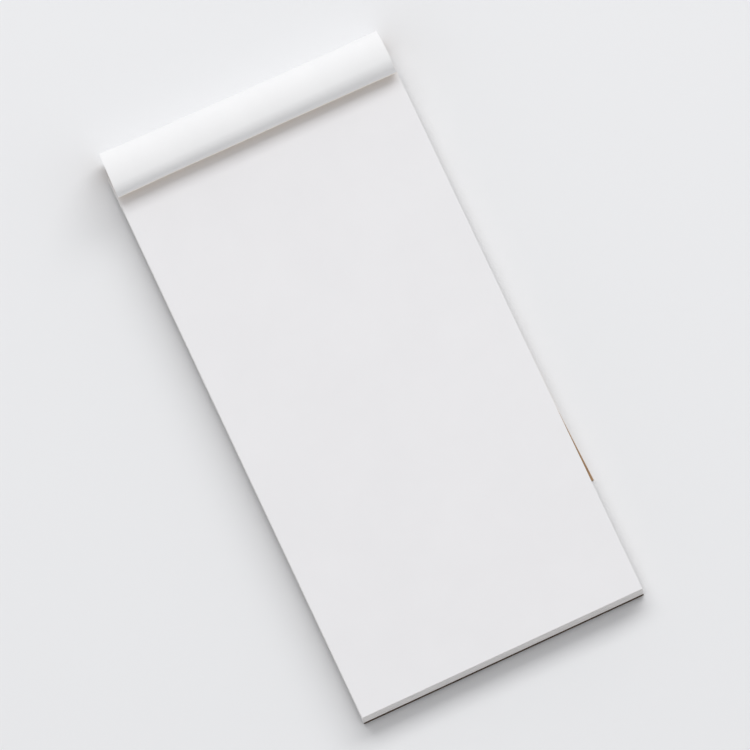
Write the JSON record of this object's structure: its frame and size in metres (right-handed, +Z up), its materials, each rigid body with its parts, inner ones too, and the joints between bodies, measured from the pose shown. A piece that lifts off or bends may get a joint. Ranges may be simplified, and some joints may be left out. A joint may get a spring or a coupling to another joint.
{
  "type": "notepad",
  "caption": "Top-bound notepad of blank white leaves on a back board, its kraft cover rolled back over the glued head and tucked underneath.",
  "frame": {"origin": "on the table under the middle of the pad's leaves, on the white face of the tucked cover panel", "axes": "+X to the right across the pad, +Y towards the bound head, +Z up from the table"},
  "size_m": [0.1014, 0.2055, 0.0174],
  "materials": {
    "paper": "smooth uncoated white paper",
    "cover_white": "smooth white inner side of the cover sheet, kraft brown on its other side",
    "kraft": "matt brown kraft card with fine fibres, white on its inner side",
    "board": "matt brown board",
    "glue": "dried white padding glue"
  },
  "bodies": {
    "pad": {"back_board": "board", "head_glue": "glue", "cover_spine": "kraft", "cover_roll": "cover_white", "leaf_01_margin": "paper", "leaf_02_margin": "paper", "leaf_03_margin": "paper", "leaf_04_margin": "paper", "leaf_05_margin": "paper", "leaf_06_margin": "paper", "leaf_07_margin": "paper", "leaf_08_margin": "paper", "leaf_09": "paper", "leaf_10": "paper", "leaf_11": "paper", "leaf_12": "paper", "leaf_13": "paper", "leaf_14": "paper", "leaf_15": "paper", "leaf_16": "paper", "leaf_17": "paper", "leaf_18": "paper", "leaf_19": "paper", "leaf_20": "paper", "leaf_21": "paper", "leaf_22": "paper", "leaf_23": "paper", "leaf_24": "paper", "leaf_25": "paper", "leaf_26": "paper", "leaf_27": "paper", "leaf_28": "paper", "leaf_29": "paper", "leaf_30": "paper", "leaf_31": "paper", "leaf_32": "paper", "leaf_33": "paper", "leaf_34": "paper", "leaf_35": "paper", "leaf_36": "paper", "leaf_37": "paper", "leaf_38": "paper", "leaf_39": "paper", "leaf_40": "paper"},
    "cover_panel": {"cover_panel": "kraft"},
    "leaf_01": {"leaf_01_sheet": "paper"},
    "leaf_02": {"leaf_02_sheet": "paper"},
    "leaf_03": {"leaf_03_sheet": "paper"},
    "leaf_04": {"leaf_04_sheet": "paper"},
    "leaf_05": {"leaf_05_sheet": "paper"},
    "leaf_06": {"leaf_06_sheet": "paper"},
    "leaf_07": {"leaf_07_sheet": "paper"},
    "leaf_08": {"leaf_08_sheet": "paper"}
  },
  "joints": [
    {"name": "cover_turn", "type": "hinge", "parent": "pad", "child": "cover_panel", "pos_m": [0, 0.1006, 0], "axis": [1, 0, 0], "range_deg": [0, 180]},
    {"name": "leaf_turn", "type": "hinge", "parent": "pad", "child": "leaf_01", "pos_m": [0, 0.0882, 0.00956], "axis": [-1, 0, 0], "range_deg": [0, 110]},
    {"name": "leaf_turn_02", "type": "hinge", "parent": "pad", "child": "leaf_02", "pos_m": [0, 0.0879, 0.00936], "axis": [-1, 0, 0], "range_deg": [0, 106.7]},
    {"name": "leaf_turn_03", "type": "hinge", "parent": "pad", "child": "leaf_03", "pos_m": [0, 0.0876, 0.00916], "axis": [-1, 0, 0], "range_deg": [0, 103.4]},
    {"name": "leaf_turn_04", "type": "hinge", "parent": "pad", "child": "leaf_04", "pos_m": [0, 0.0873, 0.00896], "axis": [-1, 0, 0], "range_deg": [0, 100.1]},
    {"name": "leaf_turn_05", "type": "hinge", "parent": "pad", "child": "leaf_05", "pos_m": [0, 0.087, 0.00876], "axis": [-1, 0, 0], "range_deg": [0, 96.8]},
    {"name": "leaf_turn_06", "type": "hinge", "parent": "pad", "child": "leaf_06", "pos_m": [0, 0.0867, 0.00856], "axis": [-1, 0, 0], "range_deg": [0, 93.5]},
    {"name": "leaf_turn_07", "type": "hinge", "parent": "pad", "child": "leaf_07", "pos_m": [0, 0.0864, 0.00836], "axis": [-1, 0, 0], "range_deg": [0, 90.2]},
    {"name": "leaf_turn_08", "type": "hinge", "parent": "pad", "child": "leaf_08", "pos_m": [0, 0.0861, 0.00816], "axis": [-1, 0, 0], "range_deg": [0, 86.9]}
  ],
  "couplings": [
    {"joint": "leaf_turn_02", "follows": "leaf_turn", "ratio": 0.97},
    {"joint": "leaf_turn_03", "follows": "leaf_turn", "ratio": 0.94},
    {"joint": "leaf_turn_04", "follows": "leaf_turn", "ratio": 0.91},
    {"joint": "leaf_turn_05", "follows": "leaf_turn", "ratio": 0.88},
    {"joint": "leaf_turn_06", "follows": "leaf_turn", "ratio": 0.85},
    {"joint": "leaf_turn_07", "follows": "leaf_turn", "ratio": 0.82},
    {"joint": "leaf_turn_08", "follows": "leaf_turn", "ratio": 0.79}
  ]
}
